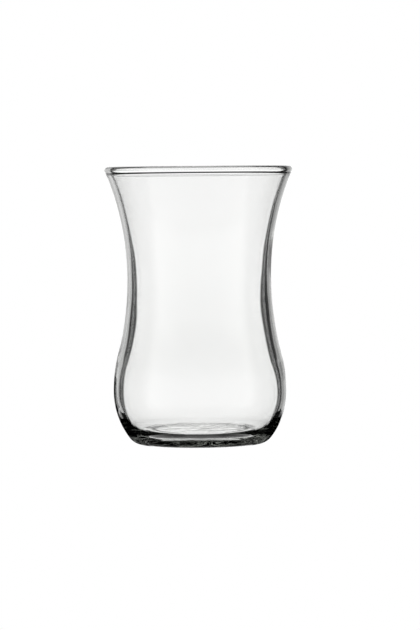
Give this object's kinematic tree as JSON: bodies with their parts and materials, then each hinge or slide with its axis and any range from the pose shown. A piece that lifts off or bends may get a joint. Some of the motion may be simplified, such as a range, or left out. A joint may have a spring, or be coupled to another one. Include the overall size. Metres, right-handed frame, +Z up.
{
  "type": "tea glass",
  "caption": "Empty clear pressed-glass tea glass with a flared rounded lip, a narrow waist, a round belly and a flat foot.",
  "frame": {"origin": "middle of the foot, on the surface that the glass stands on", "axes": "+Z up along the glass's axis, from the foot to the lip; the glass is the same all round, so X and Y are free"},
  "size_m": [0.0576, 0.0576, 0.085],
  "materials": {
    "clear_glass": "clear, smooth, fire-polished"
  },
  "bodies": {
    "root": {"tea_glass": "clear_glass"}
  },
  "joints": []
}
